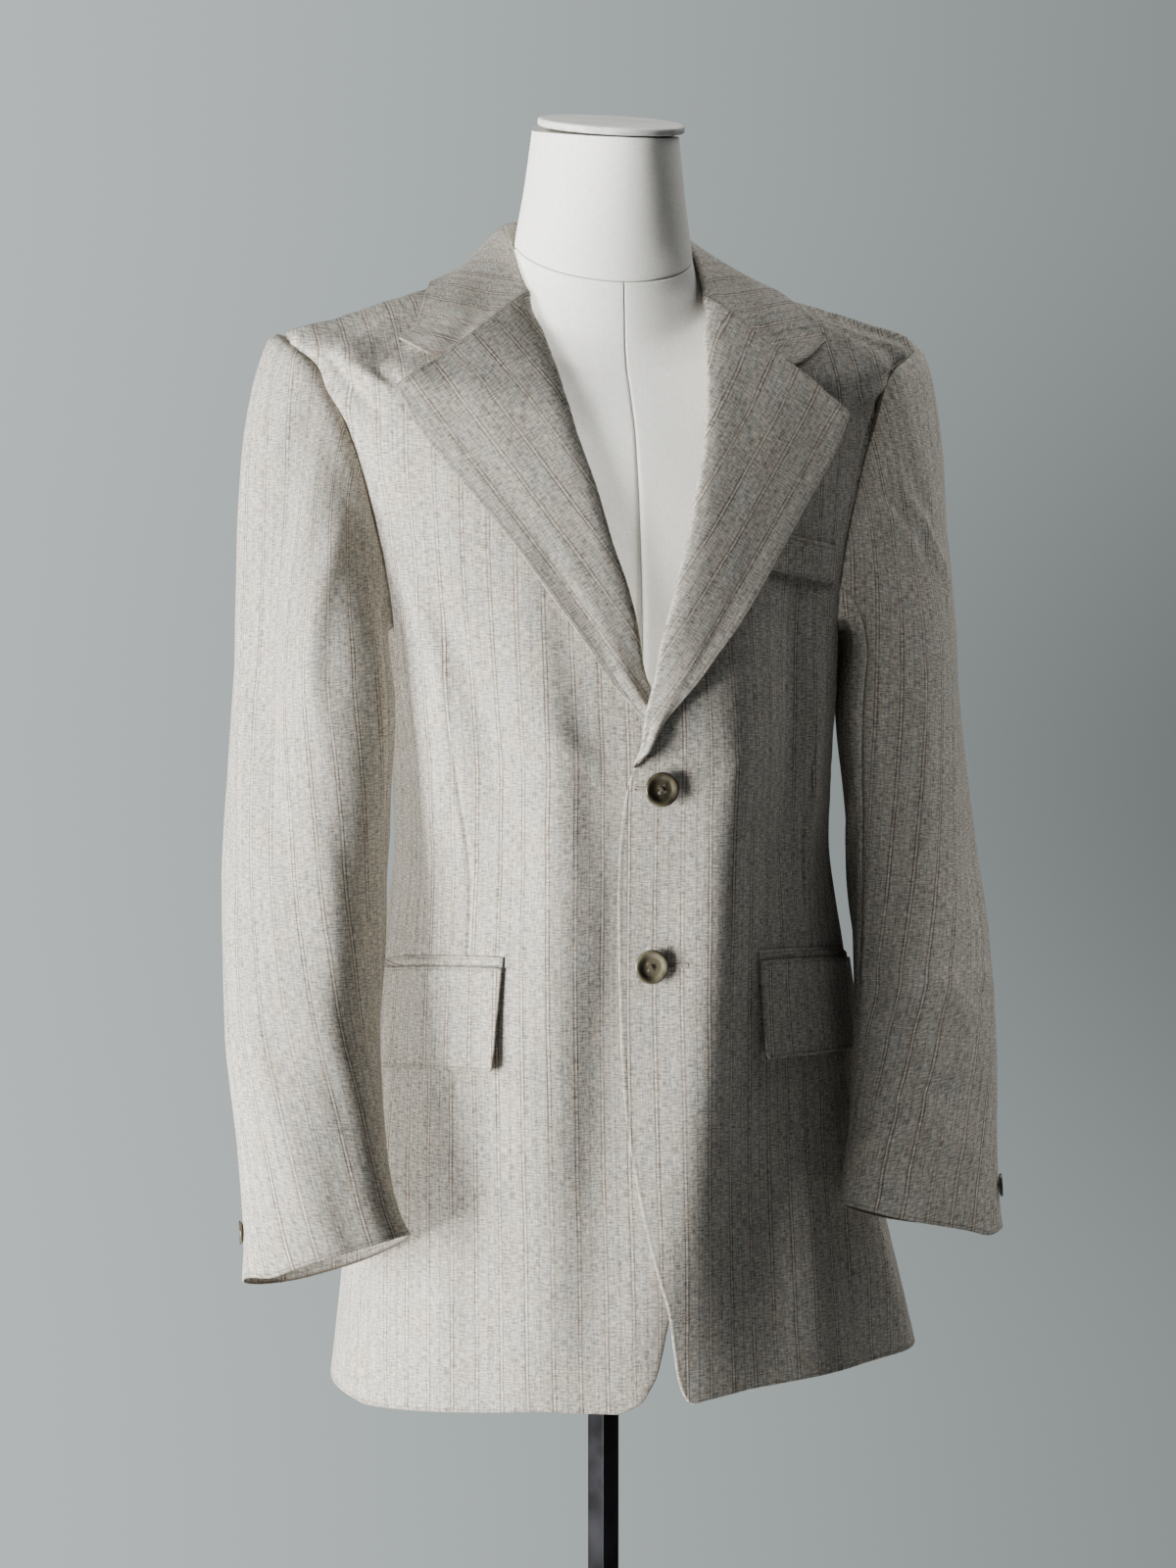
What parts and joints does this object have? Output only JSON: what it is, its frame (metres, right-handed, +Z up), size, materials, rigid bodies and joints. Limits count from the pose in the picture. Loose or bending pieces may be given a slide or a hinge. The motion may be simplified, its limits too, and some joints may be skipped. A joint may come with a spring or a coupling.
{
  "type": "single breasted blazer on limbless dress form and stand",
  "caption": "Striped single breasted blazer with notched lapels, flap pockets and a breast welt, buttoned on a limbless linen dress form that stands on a black pole and plate.",
  "frame": {"origin": "on the floor under the middle of the stand's pole", "axes": "+Z up, the jacket's front faces -Y, the wearer's left is +X"},
  "size_m": [0.531, 0.38, 1.5808],
  "materials": {
    "blazer_cloth": "dry slubbed linen and wool weave, pale greige with fine tan and grey-blue stripes, matt",
    "horn_button": "dark olive-brown horn, satin gloss",
    "linen_cover": "plain off-white linen drawn over the form, matt",
    "pale_wood": "smooth limed wood, satin",
    "black_steel": "black lacquer, satin"
  },
  "bodies": {
    "root": {"front_right": "blazer_cloth", "front_left": "blazer_cloth", "side_right": "blazer_cloth", "side_left": "blazer_cloth", "back_right": "blazer_cloth", "back_left": "blazer_cloth", "sleeve_top_right": "blazer_cloth", "sleeve_under_right": "blazer_cloth", "sleeve_top_left": "blazer_cloth", "sleeve_under_left": "blazer_cloth", "collar": "blazer_cloth", "lapel_right": "blazer_cloth", "lapel_left": "blazer_cloth", "pocket_flap_right": "blazer_cloth", "pocket_flap_left": "blazer_cloth", "pocket_jet_right": "blazer_cloth", "pocket_jet_left": "blazer_cloth", "breast_welt": "blazer_cloth", "front_button_upper": "horn_button", "front_button_lower": "horn_button", "cuff_button_right": "horn_button", "cuff_button_left": "horn_button", "form_torso": "linen_cover", "neck_cap": "pale_wood", "stand_pole": "black_steel", "stand_base": "black_steel"}
  },
  "joints": []
}
